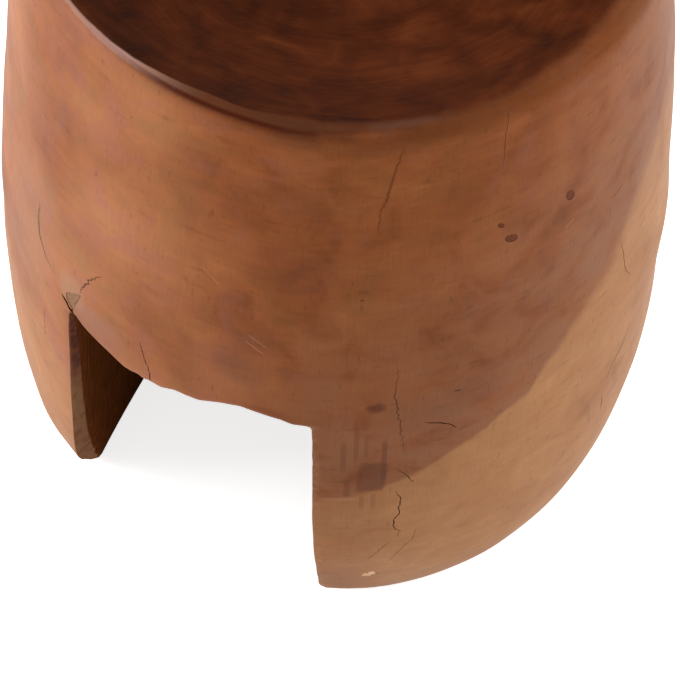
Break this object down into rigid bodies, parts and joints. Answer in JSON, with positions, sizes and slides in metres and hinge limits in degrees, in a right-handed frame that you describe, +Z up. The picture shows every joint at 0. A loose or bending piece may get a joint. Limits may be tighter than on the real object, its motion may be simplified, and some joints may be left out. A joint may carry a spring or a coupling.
{
  "type": "carved wooden stool",
  "caption": "Barrel-shaped stool carved from one block of wood, with a dished seat and a channel through below it that leaves broad legs.",
  "frame": {"origin": "on the floor, under the middle of the barrel", "axes": "+Z up; the channel between the legs runs along Y and the pictured mouth faces -Y; the legs stand at -X and +X"},
  "size_m": [0.348, 0.3474, 0.42],
  "materials": {
    "carved_wood": "hand carved, oiled and worn, dark and polished in the seat",
    "plug_wood": "dark end grain, flush",
    "filler": "dull grey-green wood filler"
  },
  "bodies": {
    "root": {"stool_body": "carved_wood", "plug_upper": "plug_wood", "plug_lower": "plug_wood", "plug_small": "plug_wood", "crack_filler": "filler"}
  },
  "joints": []
}
